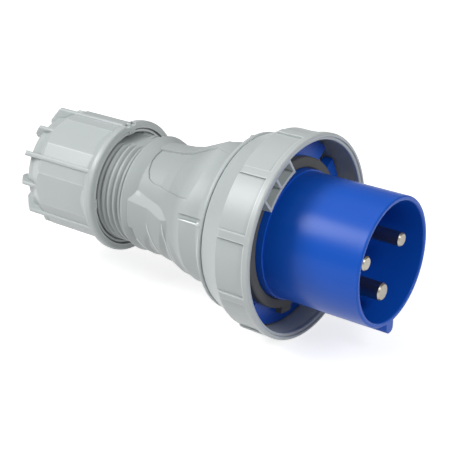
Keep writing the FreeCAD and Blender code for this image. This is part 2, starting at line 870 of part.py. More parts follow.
def make_gland_nut():
    flat_vertex = nut_flat_radius / math.cos(math.pi / nut_flat_count)
    cone_front = nut_back + nut_cone_length
    flange_back_x = nut_front - nut_flange_length
    flare_back = flange_back_x - nut_flare_length
    corners = []
    for i in range(nut_flat_count + 1):
        turn = 2 * math.pi * (i + 0.5) / nut_flat_count
        corners.append(V(nut_back, flat_vertex * math.sin(turn), flat_vertex * math.cos(turn)))
    flats = Part.Face(Part.makePolygon(corners)).extrude(V(nut_front - 2 - nut_back, 0, 0))
    envelope = revolved([
        (nut_back, 0),
        (nut_back, nut_hole_radius + 3),
        (nut_back + 3.0, nut_tail_radius - 0.5),
        (nut_back + 4.0, nut_tail_radius),
        (nut_back + nut_cone_root, nut_tail_radius + 0.7),
        (cone_front, flat_vertex),
        (nut_front - 2, flat_vertex),
        (nut_front - 2, 0),
    ])
    flange = revolved([
        (flare_back, 0),
        (flare_back, nut_flat_radius - 0.6),
        ((flange_back_x - nut_flare_length * 0.3, nut_flat_radius + 1.4), (flange_back_x, nut_flange_radius)),
        (nut_front - 1.3, nut_flange_radius),
        ((nut_front - 0.4, nut_flange_radius - 0.4), (nut_front, nut_flange_radius - 1.4)),
        (nut_front, 0),
    ])
    solids = [flats.common(envelope), flange]
    for i in range(nut_flat_count):
        angle = 360.0 * i / nut_flat_count
        if i % 2 == 0:
            wing = make_wing(wing_radius, wing_inner_radius, wing_tip_radius, flange_back_x, wing_thickness)
        else:
            wing = make_wing(nut_flat_radius + 0.1, wing_inner_radius, wing_tip_radius - 0.3,
                             cone_front - 2, short_wing_thickness)
        solids.append(turned(wing, angle))
    body = joined(solids)

    bore = thread_crest_radius + nut_bore_clearance
    bore_end = nut_front - nut_bore_length
    ring_front_x = nut_back + nut_back_wall + slip_ring_thickness
    pocket = slip_ring_radius + slip_ring_clearance
    hollow = revolved([
        (nut_front + 1, 0),
        (nut_front + 1, bore + 2.2),
        (nut_front - 1.2, bore),
        (bore_end, bore),
        (ring_front_x + 4, pocket),
        (nut_back + nut_back_wall, pocket),
        (nut_back + nut_back_wall, nut_hole_radius),
        (nut_back - 1, nut_hole_radius),
        (nut_back - 1, 0),
    ])
    notch = block((nut_front - 3.4, nut_front + 1), (-nut_notch_width / 2, nut_notch_width / 2),
                  (nut_flange_radius - nut_notch_depth, nut_flange_radius + 2))
    wing_bore = tube(nut_back - wing_overhang - 1, nut_back, wing_inner_radius)
    mouth = tube(nut_front - nut_mouth_depth, nut_front + 1, nut_mouth_radius)
    land = block((nut_front - nut_mouth_depth - 1, nut_front + 2), (-nut_mouth_land / 2, nut_mouth_land / 2),
                 (-nut_flange_radius, nut_flange_radius))
    mouth = mouth.cut(land.fuse(turned(land, 90)))
    return only_solid(without(body, [hollow, mouth, turned(notch, 1.5), wing_bore]))


def make_slip_ring():
    """The smooth ring that lets the nut turn without twisting the clamping cage."""
    back = nut_back + nut_back_wall
    front = back + slip_ring_thickness
    return revolved([
        (back, slip_ring_bore),
        (back, slip_ring_radius),
        (front, slip_ring_radius),
        (front, slip_ring_radius - 1.2),
        (back + 1.2, slip_ring_bore),
    ])


def make_clamping_cage():
    """The ring of sprung fingers that the nut closes on the cable."""
    seat_front = tube_end + cage_seat_length
    flange_back_x = tube_end - cage_flange_thickness
    finger_end = flange_back_x - cage_finger_length
    seat = tube_bore_radius - fit_clearance
    body = revolved([
        (seat_front, cage_bore),
        (seat_front, seat - 0.6),
        (seat_front - 0.6, seat),
        (tube_end, seat),
        (tube_end, cage_flange_radius),
        (flange_back_x, cage_flange_radius),
        (flange_back_x - 1.0, cage_flange_radius - 1.4),
        (finger_end + 2.0, cage_finger_tip_radius),
        (finger_end, cage_finger_tip_radius - 1.8),
        (finger_end, cage_bore),
    ])
    half = cage_finger_gap / 2
    slot = block((finger_end - 1, flange_back_x - 1.5), (-half, half), (0, cage_flange_radius + 1))
    slots = [turned(slot, 360.0 * i / cage_finger_count) for i in range(cage_finger_count)]
    return only_solid(without(body, slots))


def make_cable_grommet():
    """The rubber sleeve that the cage squeezes on the cable, with sealing grooves in its bore."""
    outer = cage_bore - fit_clearance / 2
    front = tube_end + cage_seat_length
    back = front - grommet_length
    body = revolved([
        (back, grommet_bore + 1.0),
        (back, outer),
        (front, outer),
        (front, grommet_bore + 1.0),
        (front - 1.0, grommet_bore),
        (back + 1.0, grommet_bore),
    ])
    spacing = grommet_length / (grommet_groove_count + 1)
    grooves = []
    for i in range(grommet_groove_count):
        x = back + (i + 1) * spacing
        grooves.append(tube(x - 1.0, x + 1.0, grommet_bore + grommet_groove_depth, grommet_bore - 1))
    return only_solid(without(body, grooves))


pieces = {
    "housing": make_housing(),
    "contact_sleeve": make_contact_sleeve(),
    "face_seal": make_face_seal(),
    "spigot_seal": make_spigot_seal(),
    "pin_retainer": make_pin_retainer(),
    "retainer_screws": make_retainer_screws(),
    "flange_screws": make_flange_screws(),
    "locking_ring": make_locking_ring(),
    "gland_nut": make_gland_nut(),
    "slip_ring": make_slip_ring(),
    "clamping_cage": make_clamping_cage(),
    "cable_grommet": make_cable_grommet(),
}
for pole, (pole_angle, pole_radius) in pins.items():
    pieces[pole + "_pin"] = make_pin(pole_angle, pole_radius)
    pieces[pole + "_terminal_screws"] = make_terminal_screws(pole_angle)
    pieces[pole + "_pressure_plate"] = make_pressure_plate(pole_angle)

os.makedirs("parts", exist_ok=True)
for name, shape in pieces.items():
    shape.exportStep("parts/" + name + ".step")
    print("%-24s %9.0f mm3" % (name, shape.Volume))
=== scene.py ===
# %% [markdown]
# # An industrial pin and sleeve plug, dressed for the camera
# The plug's solids come in as a frame that is already at its real size. This lesson adds what a
# camera needs to see it as plastic, rubber and metal: a studio, the finishes, and small forms that
# the construction model leaves out. All sizes are in metres, +X is the way the plug goes in.

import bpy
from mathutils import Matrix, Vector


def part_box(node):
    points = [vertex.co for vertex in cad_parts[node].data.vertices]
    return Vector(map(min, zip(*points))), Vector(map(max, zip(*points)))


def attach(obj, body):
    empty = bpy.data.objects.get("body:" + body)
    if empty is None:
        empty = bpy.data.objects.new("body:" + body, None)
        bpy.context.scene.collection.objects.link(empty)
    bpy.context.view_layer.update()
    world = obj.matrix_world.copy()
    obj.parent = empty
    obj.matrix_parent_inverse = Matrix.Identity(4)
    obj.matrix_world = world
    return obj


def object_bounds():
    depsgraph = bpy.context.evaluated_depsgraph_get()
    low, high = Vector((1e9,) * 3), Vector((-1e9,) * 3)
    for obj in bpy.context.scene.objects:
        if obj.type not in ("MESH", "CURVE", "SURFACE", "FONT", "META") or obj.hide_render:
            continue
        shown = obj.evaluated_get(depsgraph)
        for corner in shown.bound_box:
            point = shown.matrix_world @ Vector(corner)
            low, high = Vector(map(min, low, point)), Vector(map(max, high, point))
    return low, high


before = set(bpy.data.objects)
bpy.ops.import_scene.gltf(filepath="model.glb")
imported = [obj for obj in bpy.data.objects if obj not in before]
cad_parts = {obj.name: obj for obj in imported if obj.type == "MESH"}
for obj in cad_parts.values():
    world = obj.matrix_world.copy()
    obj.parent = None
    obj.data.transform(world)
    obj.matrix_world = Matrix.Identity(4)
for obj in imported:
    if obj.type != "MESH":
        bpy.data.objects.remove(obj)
frame_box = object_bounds()

# %% The tools of the lesson
import math

import bpy
from mathutils import Matrix, Vector

MM = 0.001
print("a length in millimetres times", MM, "is in metres")

# %% [markdown]
# ## Camera
# The photograph looks down on the plug from its front right, through a long lens, so the circles
# are nearly true ellipses. The camera is set by where it stands and by its three directions,
# because those are what a fit to the picture gives.

# %% Camera
LENS_LENGTH_MM = 101.86
SENSOR_WIDTH_MM = 36
NEAR_CLIP = 10 * MM
camera_right = Vector((0.8009, 0.5987, -0.0044))
camera_up = Vector((-0.2420, 0.3305, 0.9123))
camera_back = Vector((0.5477, -0.7296, 0.4096))
camera_place = Vector((0.2855, -0.5248, 0.2871))

lens = bpy.data.cameras.new("camera")
lens.lens = LENS_LENGTH_MM
lens.sensor_width = SENSOR_WIDTH_MM
lens.clip_start = NEAR_CLIP
camera = bpy.data.objects.new("camera", lens)
camera.matrix_world = Matrix((
    (camera_right.x, camera_up.x, camera_back.x, camera_place.x),
    (camera_right.y, camera_up.y, camera_back.y, camera_place.y),
    (camera_right.z, camera_up.z, camera_back.z, camera_place.z),
    (0, 0, 0, 1)))
bpy.context.collection.objects.link(camera)
bpy.context.scene.camera = camera
print("camera", round(camera_place.length, 3), "m from the plug's mouth")

# %% [markdown]
# ## Writing a finish
# A finish is a small network of nodes. Written as sums and products it reads like the thing it
# means, so one class wraps a socket and turns +, - and * into Math nodes, and one method makes
# every other node.

# %% Sockets as numbers
class Value:
    """An output socket that takes part in sums as a number does."""

    def __init__(self, finish, socket):
        self.finish = finish
        self.socket = socket

    def math(self, operation, *values):
        inputs = dict(enumerate(values))
        return self.finish.node("ShaderNodeMath", {"operation": operation}, inputs)

    def __add__(self, other):
        return self.math("ADD", self, other)

    def __radd__(self, other):
        return self.math("ADD", other, self)

    def __sub__(self, other):
        return self.math("SUBTRACT", self, other)

    def __rsub__(self, other):
        return self.math("SUBTRACT", other, self)

    def __mul__(self, other):
        return self.math("MULTIPLY", self, other)

    def __rmul__(self, other):
        return self.math("MULTIPLY", other, self)

    def clamped(self):
        """Never below 0, never above 1."""
        return self.math("MINIMUM", self.math("MAXIMUM", self, 0.0), 1.0)

    def between(self, start, end):
        """0 up to the start, 1 from the end on, and an even blend on the way."""
        return ((self - start) * (1.0 / (end - start))).clamped()


print("sockets add, subtract and multiply")

# %% A finish
# The Mix node has several sockets of each name, so the colour ones are reached by number.
MIX_FACTOR = 0
MIX_FIRST = 6
MIX_SECOND = 7
MIX_RESULT = 2
BEVEL_SAMPLES = 6
NEARBY_SAMPLES = 8


class Finish:
    """A material with one Principled shader, and the means to feed it."""

    def __init__(self, name, constants):
        self.material = bpy.data.materials.new(name)
        self.material.use_nodes = True
        self.tree = self.material.node_tree
        self.shader = self.tree.nodes["Principled BSDF"]
        for socket, value in constants.items():
            self.shader.inputs[socket].default_value = value

    def node(self, kind, settings, inputs, output=0):
        """A new node: its settings first, then a value or a link for each socket."""
        made = self.tree.nodes.new(kind)
        for key, value in settings.items():
            setattr(made, key, value)
        for key, value in inputs.items():
            if isinstance(value, Value):
                self.tree.links.new(value.socket, made.inputs[key])
            else:
                made.inputs[key].default_value = value
        return Value(self, made.outputs[output])

    def place(self):
        return self.node("ShaderNodeTexCoord", {}, {}, "Object")

    def along(self, axis):
        """One coordinate of the point, in metres."""
        return self.node("ShaderNodeSeparateXYZ", {}, {"Vector": self.place()}, axis)

    def noise(self, scale, detail, at=None):
        inputs = {"Vector": at or self.place(), "Scale": scale, "Detail": detail}
        return self.node("ShaderNodeTexNoise", {}, inputs, "Fac")

    def mix(self, factor, first, second):
        """A colour between two colours."""
        inputs = {MIX_FACTOR: factor, MIX_FIRST: first, MIX_SECOND: second}
        return self.node("ShaderNodeMix", {"data_type": "RGBA"}, inputs, MIX_RESULT)

    def feed(self, socket, value):
        self.tree.links.new(value.socket, self.shader.inputs[socket])

    def bump(self, height, distance, strength, normal):
        inputs = {"Height": height, "Distance": distance, "Strength": strength, "Normal": normal}
        return self.node("ShaderNodeBump", {}, inputs)

    def soft_edges(self, radius):
        return self.node("ShaderNodeBevel", {"samples": BEVEL_SAMPLES}, {"Radius": radius})

    def nearby(self, reach, inside):
        """0 on open surface, towards 1 where the piece's own surface stands close by."""
        settings = {"samples": NEARBY_SAMPLES, "only_local": True, "inside": inside}
        return 1.0 - self.node("ShaderNodeAmbientOcclusion", settings, {"Distance": reach}, "AO")

    def crevice(self, reach):
        """Towards 1 in a corner or groove."""
        return self.nearby(reach, inside=False)

    def ridge(self, reach):
        """Towards 1 on an outer edge."""
        return self.nearby(reach, inside=True)


def grey(level, warmth=0.0):
    """A grey whose red is a share higher, or lower where the warmth is negative."""
    return (level * (1 + warmth), level, level, 1.0)


print("the finish helpers are ready")

# %% [markdown]
# ## Grey moulded plastic
# The body, the ring and the nut are one light grey plastic. It is matt with a fine grain, a little
# uneven in tone, and its moulded edges are softly rounded. A fillet on each edge would take many
# faces, so a bevel in the normal gives the edges their thin line of light. Where the surface folds
# in, painted shade makes the tone darker, and on outer edges a painted highlight makes it lighter.
# A tint holds a share of the plastic's level and a warmth.
# All levels and tints here were set to come near the photograph.

# %% Grey plastic
CLOUD_SCALE = 22.0
CLOUD_DETAIL = 3.0
SPECK_SCALE = 900.0
FINE_DETAIL = 2.0
CLOUD_DARK = (0.97, -0.080)
CLOUD_PALE = (1.03, -0.065)
SPECK_TINT = (0.82, -0.070)
# painted shade: the darker tone mixed in where the surface folds in
CREVICE_PAINTED_SHADE = (0.40, -0.100)
# painted highlight: the lighter tone mixed in on outer edges
EDGE_PAINTED_HIGHLIGHT = (1.4, -0.040)
SPECK_SHARE = 0.10
CREVICE_SHARE = 0.5
CREVICE_GAIN = 1.6
CREVICE_REACH = 1.2 * MM
EDGE_GAIN = 2.4
EDGE_REACH = 0.8 * MM
EDGE_POLISH = 0.10
ROUGHNESS_SWING = 0.06
GRAIN_HEIGHT = 0.02 * MM
GRAIN_STRENGTH = 0.5
PALEST = 0.95
PLASTIC_IOR = 1.5


def tinted(level, tint):
    share, warmth = tint
    return grey(min(level * share, PALEST), warmth)


def moulded_grey(name, level, grain, roughness, edge, shine=0.5, edge_light=0.85, region=None):
    """Grey plastic of one level. Where a region is given, the region's colour is mixed in there."""
    finish = Finish(name, {"IOR": PLASTIC_IOR, "Specular IOR Level": shine})
    cloud = finish.noise(CLOUD_SCALE, CLOUD_DETAIL)
    speck = finish.noise(SPECK_SCALE, FINE_DETAIL)
    crevice = (finish.crevice(CREVICE_REACH) * CREVICE_GAIN).clamped()
    ridge = (finish.ridge(EDGE_REACH) * EDGE_GAIN).clamped()
    tone = finish.mix(cloud, tinted(level, CLOUD_DARK), tinted(level, CLOUD_PALE))
    tone = finish.mix(speck * SPECK_SHARE, tone, tinted(level, SPECK_TINT))
    # painted shade darkens the folds, and a painted highlight lightens the outer edges
    tone = finish.mix(crevice * CREVICE_SHARE, tone, tinted(level, CREVICE_PAINTED_SHADE))
    tone = finish.mix(ridge * edge_light, tone, tinted(level, EDGE_PAINTED_HIGHLIGHT))
    if region:
        mask, colour = region(finish)
        tone = finish.mix(mask, tone, colour)
    finish.feed("Base Color", tone)
    uneven = (cloud + speck) * ROUGHNESS_SWING
    finish.feed("Roughness", roughness + uneven - ridge * EDGE_POLISH)
    rounded = finish.soft_edges(edge)
    finish.feed("Normal", finish.bump(speck, GRAIN_HEIGHT * grain, GRAIN_STRENGTH, rounded))
    return finish.material


print("grey plastic can be made")

# %% Body and nut
BODY_LEVEL = 0.59
GRIP_FRONT = -108.0 * MM
GRIP_FADE = 8.33 * MM
GRIP_TINT = (0.6, -0.085)
GRIP_SHARE = 0.32
GRIP_UNEVENNESS = 0.16


def grip_region(finish):
    """The hand grip behind the belly is a little darker than the rest of the body."""
    grip = finish.along(0).between(GRIP_FRONT, GRIP_FRONT - GRIP_FADE)
    cloud = finish.noise(CLOUD_SCALE, CLOUD_DETAIL)
    return grip * (GRIP_SHARE + cloud * GRIP_UNEVENNESS), tinted(BODY_LEVEL, GRIP_TINT)


grey_shell = moulded_grey("grey_shell", level=BODY_LEVEL, grain=1.0, roughness=0.36,
                          edge=0.8 * MM, shine=0.36, edge_light=0.3, region=grip_region)
grey_nut = moulded_grey("grey_nut", level=0.58, grain=1.4, roughness=0.26, edge=0.4 * MM)
print("made", grey_shell.name, grey_nut.name)

# %% [markdown]
# ## The ring's bore and the raised lines
# The ring's bore lies round the blue sleeve and takes up its blue. In the photograph it is a more
# neutral grey, so a warm tint is painted on it against the sleeve's blue light, and painted light
# makes it paler low down. The raised lines on the body are smoother than the rest of it, and
# their paler tone is a painted highlight. Both tones are given below.

# %% Ring and raised lines
BORE_INNER_RADIUS = 52.9 * MM
BORE_OUTER_RADIUS = 54.3 * MM
BORE_BACK = -67.0 * MM
BORE_FRONT = -54.0 * MM
BORE_FADE = 1.0 * MM
SQUARE_FADE = 1.0 * MM ** 2
LOW_START = -15.0 * MM
LOW_FADE = 16.67 * MM
# a warm tint painted on the bore to cancel the blue light that the sleeve throws on it
BORE_TINT_AGAINST_BLUE_LIGHT = (0.637, 0.578, 0.366, 1)
# painted light: the bore is paler low down
BORE_LOW_PAINTED_LIGHT = (0.92, 0.92, 0.74, 1)


def bore_region(finish):
    """The ring's bore, between two radii and two stations, compared by the radius's square."""
    along = finish.along(0)
    across = finish.along(1)
    up = finish.along(2)
    square = across * across + up * up
    inner = BORE_INNER_RADIUS ** 2
    outer = BORE_OUTER_RADIUS ** 2
    wall = square.between(inner, inner + SQUARE_FADE) * square.between(outer, outer - SQUARE_FADE)
    depth = along.between(BORE_BACK, BORE_BACK + BORE_FADE)
    depth = depth * along.between(BORE_FRONT, BORE_FRONT - BORE_FADE)
    low = up.between(LOW_START, LOW_START - LOW_FADE)
    # painted colour: warm against the sleeve's blue light, and paler low down as painted light
    return wall * depth, finish.mix(low, BORE_TINT_AGAINST_BLUE_LIGHT, BORE_LOW_PAINTED_LIGHT)


grey_ring = moulded_grey("grey_ring", level=BODY_LEVEL, grain=1.0, roughness=0.30,
                         edge=0.4 * MM, region=bore_region)
# painted highlight: the raised lines' pale tone stands in for the bright lines of light along them
crest_painted_highlight = moulded_grey("crest_painted_highlight", level=0.90, grain=0.5, roughness=0.12,
                          edge=0.2 * MM, shine=0.9)
print("made", grey_ring.name, crest_painted_highlight.name)

# %% [markdown]
# ## Blue moulded plastic
# The contact carrier's blue says its voltage. It is smoother than the grey, with a satin gloss that
# shows a soft band of the lamp along the sleeve, and faint flow marks that run along the axis. The
# marks are a noise pattern stretched along X.

# %% Blue sleeve
FLOW_STRETCH = (0.15, 1.0, 1.0)
BLUE_DARK = (0.003, 0.090, 0.54, 1)
BLUE_PALE = (0.006, 0.110, 0.64, 1)
BLUE_FLOW = (0.012, 0.135, 0.72, 1)
FLOW_SHARE = 0.12


def moulded_blue(name, roughness, edge):
    finish = Finish(name, {"IOR": PLASTIC_IOR, "Specular IOR Level": 0.30})
    stretched = finish.node("ShaderNodeMapping", {}, {"Vector": finish.place(), "Scale": FLOW_STRETCH})
    flow = finish.noise(scale=120.0, detail=3.0, at=stretched)
    speck = finish.noise(scale=1300.0, detail=FINE_DETAIL)
    cloud = finish.noise(scale=18.0, detail=FINE_DETAIL)
    tone = finish.mix(cloud, BLUE_DARK, BLUE_PALE)
    tone = finish.mix(flow * FLOW_SHARE, tone, BLUE_FLOW)
    finish.feed("Base Color", tone)
    finish.feed("Roughness", roughness + (flow + speck) * ROUGHNESS_SWING)
    rounded = finish.soft_edges(edge)
    finish.feed("Normal", finish.bump(speck, distance=0.01 * MM, strength=0.4, normal=rounded))
    return finish.material


blue_sleeve = moulded_blue("blue_sleeve", roughness=0.27, edge=0.5 * MM)
print("made", blue_sleeve.name)

# %% [markdown]
# ## Rubber, metal and the gland's dark plastic
# The seal is a dull dark grey rubber with a dusty bloom. The pins are made as nickel-plated brass
# turned on a lathe, so a wave pattern runs fine rings round them. The gland's insides are dark and
# mostly hidden.

# %% Rubber
RUBBER_IOR = 1.45
RUBBER_ROUGHNESS = 0.62
BLOOM_GAIN = 1.6
BLOOM_LIFT = 0.01
BLOOM_SHARE = 0.5
DUST_SHARE = 0.2


def rubber(name, colour):
    """Rubber with a paler, dusty bloom."""
    finish = Finish(name, {"IOR": RUBBER_IOR})
    cloud = finish.noise(scale=60.0, detail=3.0)
    dust = finish.noise(scale=700.0, detail=FINE_DETAIL)
    pale = tuple(part * BLOOM_GAIN + BLOOM_LIFT for part in colour[:3]) + (1,)
    bloom = cloud * BLOOM_SHARE + dust * DUST_SHARE
    finish.feed("Base Color", finish.mix(bloom, colour, pale))
    finish.feed("Roughness", RUBBER_ROUGHNESS + dust * DUST_SHARE)
    rounded = finish.soft_edges(0.5 * MM)
    finish.feed("Normal", finish.bump(dust, distance=0.05 * MM, strength=0.5, normal=rounded))
    return finish.material


seal_rubber = rubber("seal_rubber", (0.105, 0.105, 0.100, 1))
grommet_rubber = rubber("grommet_rubber", (0.018, 0.018, 0.018, 1))
print("made", seal_rubber.name, grommet_rubber.name)

# %% Metal
RING_SCALE = 900.0
STAIN_SCALE = 140.0
RING_ROUGHNESS = 0.06
STAIN_ROUGHNESS = 0.10


def turned_metal(name, colour, dull, roughness):
    """Bare metal with fine rings round X from the lathe, and duller in patches."""
    finish = Finish(name, {"Metallic": 1.0})
    inputs = {"Vector": finish.place(), "Scale": RING_SCALE, "Distortion": 0.6, "Detail": 1.0}
    rings = finish.node("ShaderNodeTexWave", {"bands_direction": "X"}, inputs, "Fac")
    stain = finish.noise(STAIN_SCALE, detail=3.0)
    finish.feed("Base Color", finish.mix(stain, colour, dull))
    finish.feed("Roughness", roughness + rings * RING_ROUGHNESS + stain * STAIN_ROUGHNESS)
    rounded = finish.soft_edges(0.3 * MM)
    finish.feed("Normal", finish.bump(rings, distance=0.01 * MM, strength=0.35, normal=rounded))
    return finish.material


contact_metal = turned_metal("contact_metal", (0.48, 0.455, 0.395, 1), (0.40, 0.37, 0.31, 1), 0.26)
screw_steel = turned_metal("screw_steel", (0.62, 0.62, 0.63, 1), (0.50, 0.50, 0.50, 1), 0.30)
gland_plastic = moulded_grey("gland_plastic", level=0.10, grain=1.0, roughness=0.34, edge=0.4 * MM)
print("made", contact_metal.name, screw_steel.name, gland_plastic.name)

# %% Hand the finishes out
node_finishes = {
    "housing": grey_shell,
    "pin_retainer": grey_shell,
    "locking_ring": grey_ring,
    "gland_nut": grey_nut,
    "contact_sleeve": blue_sleeve,
    "face_seal": seal_rubber,
    "spigot_seal": seal_rubber,
    "cable_grommet": grommet_rubber,
    "slip_ring": gland_plastic,
    "clamping_cage": gland_plastic,
    "retainer_screws": screw_steel,
    "flange_screws": screw_steel,
}
for pole in ("line", "neutral", "earth"):
    node_finishes[pole + "_pin"] = contact_metal
    node_finishes[pole + "_pressure_plate"] = contact_metal
    node_finishes[pole + "_terminal_screws"] = screw_steel
for name, material in node_finishes.items():
    for material_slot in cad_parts[name].material_slots:
        material_slot.material = material
print("finished nodes:", len(node_finishes))

# %% [markdown]
# ## Modelling by hand
# The small forms that follow are modelled as by hand: a primitive is added, then shaped in edit
# mode by picking its points and moving them. One helper starts a piece, one picks points as a box
# selection does, one cuts, and one closes the work: the piece gets its finish and the body that it
# rides on.

# %% Hands
def settle():
    """Put the selected piece's place, turn and size into its mesh."""
    bpy.ops.object.transform_apply(location=True, rotation=True, scale=True)


def start_piece(name):
    """The primitive that was just added becomes a piece, with its place moved into its mesh."""
    piece = bpy.context.object
    piece.name = name
    piece.data.name = name
    settle()
    return piece


def pick(piece, test):
    """Select the points that pass a test, and stay in edit mode."""
    bpy.ops.object.mode_set(mode="EDIT")
    bpy.ops.mesh.select_mode(type="VERT")
    bpy.ops.mesh.select_all(action="DESELECT")
    bpy.ops.object.mode_set(mode="OBJECT")
    for vertex in piece.data.vertices:
        vertex.select = test(vertex.co)
    bpy.ops.object.mode_set(mode="EDIT")


def cut(place, direction):
    """Cut the whole piece by a plane and keep both sides."""
    bpy.ops.object.mode_set(mode="EDIT")
    bpy.ops.mesh.select_all(action="SELECT")
    bpy.ops.mesh.bisect(plane_co=place, plane_no=direction)
    bpy.ops.object.mode_set(mode="OBJECT")


def close_piece(piece, material, body):
    """Turn the faces outwards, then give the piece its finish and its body."""
    bpy.ops.object.mode_set(mode="EDIT")
    bpy.ops.mesh.select_all(action="SELECT")
    bpy.ops.mesh.normals_make_consistent(inside=False)
    bpy.ops.object.mode_set(mode="OBJECT")
    piece.data.materials.clear()
    piece.data.materials.append(material)
    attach(piece, body)


print("hands are ready")

# %% [markdown]
# ## The nut's folded flats
# Between two wings the nut isn't flat: it rises to a low ridge that carries each long wing, so one
# side of the wing catches the lamp and the other falls into shade. Each ridge is a shallow roof
# that grows out of the nut's flat. It is made from a block: cut along the middle, its top line
# lifted, and its rear end raked to follow the nut's cone. One is modelled and copied five times.

# %% The first ridge
NUT_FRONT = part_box("gland_nut")[1][0]
RIDGE_COUNT = 6
FLAT_RADIUS = 35.3 * MM
FLAT_HALF_WIDTH = 9.40 * MM
RIDGE_START = 5.0 * MM
RIDGE_END = 43.6 * MM
RIDGE_RISE = 0.85 * MM
RIDGE_SINK = 1.0 * MM
EAVE_STEP = 0.05 * MM
MIDDLE_RAKE = 4.4 * MM
CORNER_RAKE = 2.1 * MM
NEAR = 1.0 * MM
ridge_front = NUT_FRONT - RIDGE_START
ridge_back = NUT_FRONT - RIDGE_END
ridge_floor = FLAT_RADIUS - RIDGE_SINK
ridge_eave = FLAT_RADIUS + EAVE_STEP

bpy.ops.object.select_all(action="DESELECT")
bpy.ops.mesh.primitive_cube_add(size=1.0, location=(
    (ridge_front + ridge_back) / 2, 0, (ridge_floor + ridge_eave) / 2))
bpy.context.object.scale = (ridge_front - ridge_back, 2 * FLAT_HALF_WIDTH, ridge_eave - ridge_floor)
ridge = start_piece("nut_ridge_1")
cut(place=(0, 0, 0), direction=(0, 1, 0))
pick(ridge, lambda co: abs(co.y) < NEAR and co.z > FLAT_RADIUS)
bpy.ops.transform.translate(value=(0, 0, RIDGE_RISE))
pick(ridge, lambda co: abs(co.y) < NEAR and co.z < FLAT_RADIUS and co.x < ridge_back + NEAR)
bpy.ops.transform.translate(value=(-MIDDLE_RAKE, 0, 0))
pick(ridge, lambda co: abs(co.y) > NEAR and co.z < FLAT_RADIUS and co.x < ridge_back + NEAR)
bpy.ops.transform.translate(value=(-CORNER_RAKE, 0, 0))
bpy.ops.object.mode_set(mode="OBJECT")
close_piece(ridge, grey_nut, "gland")
print("ridge points:", len(ridge.data.vertices))

# %% The other ridges
for number in range(2, RIDGE_COUNT + 1):
    bpy.ops.object.select_all(action="DESELECT")
    ridge.select_set(True)
    bpy.context.view_layer.objects.active = ridge
    bpy.ops.object.duplicate()
    next_ridge = bpy.context.object
    next_ridge.name = next_ridge.data.name = "nut_ridge_%d" % number
    turn = math.radians(360 / RIDGE_COUNT * (number - 1))
    bpy.ops.transform.rotate(value=turn, orient_axis="X", center_override=(0, 0, 0))
    settle()
    close_piece(next_ridge, grey_nut, "gland")
print("ridges:", RIDGE_COUNT)

# %% [markdown]
# ## The nut's inner lip and its latch tooth
# Inside the nut's mouth stands a thin lip, with a dark gap on each side of it: one to the flange,
# one to the thread. It is drawn as a circle and pulled out into a ring. A small tooth stands in the
# notch at the top of the flange. It is a block whose top edge is drawn back.

# %% Nut lip
LIP_POINTS = 128
LIP_INNER = 33.0 * MM
LIP_WALL = 1.2 * MM
LIP_HEIGHT = 2.1 * MM
LIP_DEPTH = 3.0 * MM
lip_floor = NUT_FRONT - LIP_DEPTH
wider = (LIP_INNER + LIP_WALL) / LIP_INNER

bpy.ops.object.select_all(action="DESELECT")
bpy.ops.mesh.primitive_circle_add(vertices=LIP_POINTS, radius=LIP_INNER,
                                  location=(lip_floor, 0, 0), rotation=(0, math.radians(90), 0))
lip = start_piece("nut_inner_lip")
bpy.ops.object.mode_set(mode="EDIT")
bpy.ops.mesh.select_all(action="SELECT")
bpy.ops.mesh.extrude_region_move(TRANSFORM_OT_translate={"value": (LIP_HEIGHT, 0, 0)})
bpy.ops.mesh.extrude_region_move()
bpy.ops.transform.resize(value=(1, wider, wider), center_override=(lip_floor + LIP_HEIGHT, 0, 0))
bpy.ops.mesh.extrude_region_move(TRANSFORM_OT_translate={"value": (-LIP_HEIGHT, 0, 0)})
bpy.ops.mesh.select_all(action="DESELECT")
bpy.ops.mesh.select_non_manifold()
bpy.ops.mesh.bridge_edge_loops()
bpy.ops.object.mode_set(mode="OBJECT")
close_piece(lip, grey_nut, "gland")
print("lip points:", len(lip.data.vertices))

# %% Latch tooth
TOOTH_ANGLE = 1.5
TOOTH_WIDTH = 1.3 * MM
TOOTH_LENGTH = 3.0 * MM
TOOTH_SETBACK = 0.3 * MM
TOOTH_SLANT = 0.8 * MM
TOOTH_FLOOR = 37.2 * MM
TOOTH_TOP = 39.1 * MM

bpy.ops.object.select_all(action="DESELECT")
bpy.ops.mesh.primitive_cube_add(size=1.0, location=(
    NUT_FRONT - TOOTH_SETBACK - TOOTH_LENGTH / 2, 0, (TOOTH_FLOOR + TOOTH_TOP) / 2))
bpy.context.object.scale = (TOOTH_LENGTH, TOOTH_WIDTH, TOOTH_TOP - TOOTH_FLOOR)
tooth = start_piece("nut_latch_tooth")
pick(tooth, lambda co: co.z > TOOTH_TOP - NEAR and co.x > NUT_FRONT - NEAR)
bpy.ops.transform.translate(value=(-TOOTH_SLANT, 0, 0))
bpy.ops.object.mode_set(mode="OBJECT")
tooth.rotation_euler = (math.radians(TOOTH_ANGLE), 0, 0)
settle()
close_piece(tooth, grey_nut, "gland")
print("tooth points:", len(tooth.data.vertices))

# %% [markdown]
# ## Raised lines on the body
# The body has thin raised lines that catch the lamp: one below each guide groove, which climbs the
# flare to a small nub at the bead, one round the bead's foot, and the crests of the grip's finger
# ribs. Each is a path laid on the body's own skin, found by a ray towards the axis, and given a
# round section that thins out at its ends. A nub is a small block with rounded edges, turned to
# its place. The photograph shows one side, and the other side gets the mirror of it.

# %% A line on the skin
RAY_START = 70.0 * MM
LINE_POINTS = 14
LINE_ORDER = 3
LINE_STEPS = 3
LINE_ROUNDNESS = 2
TIP_SHARE = 0.25
TAPER = 3.0


def skin_point(x, angle, lift):
    """The place on the body at a station and an angle from the top, a little above the skin."""
    outward = Vector((0, -math.sin(math.radians(angle)), math.cos(math.radians(angle))))
    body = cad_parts["housing"]
    to_body = body.matrix_world.inverted()
    start = to_body @ (Vector((x, 0, 0)) + outward * RAY_START)
    heading = to_body.to_3x3() @ -outward
    found = body.matrix_world @ body.ray_cast(start, heading)[1]
    return found + outward * lift


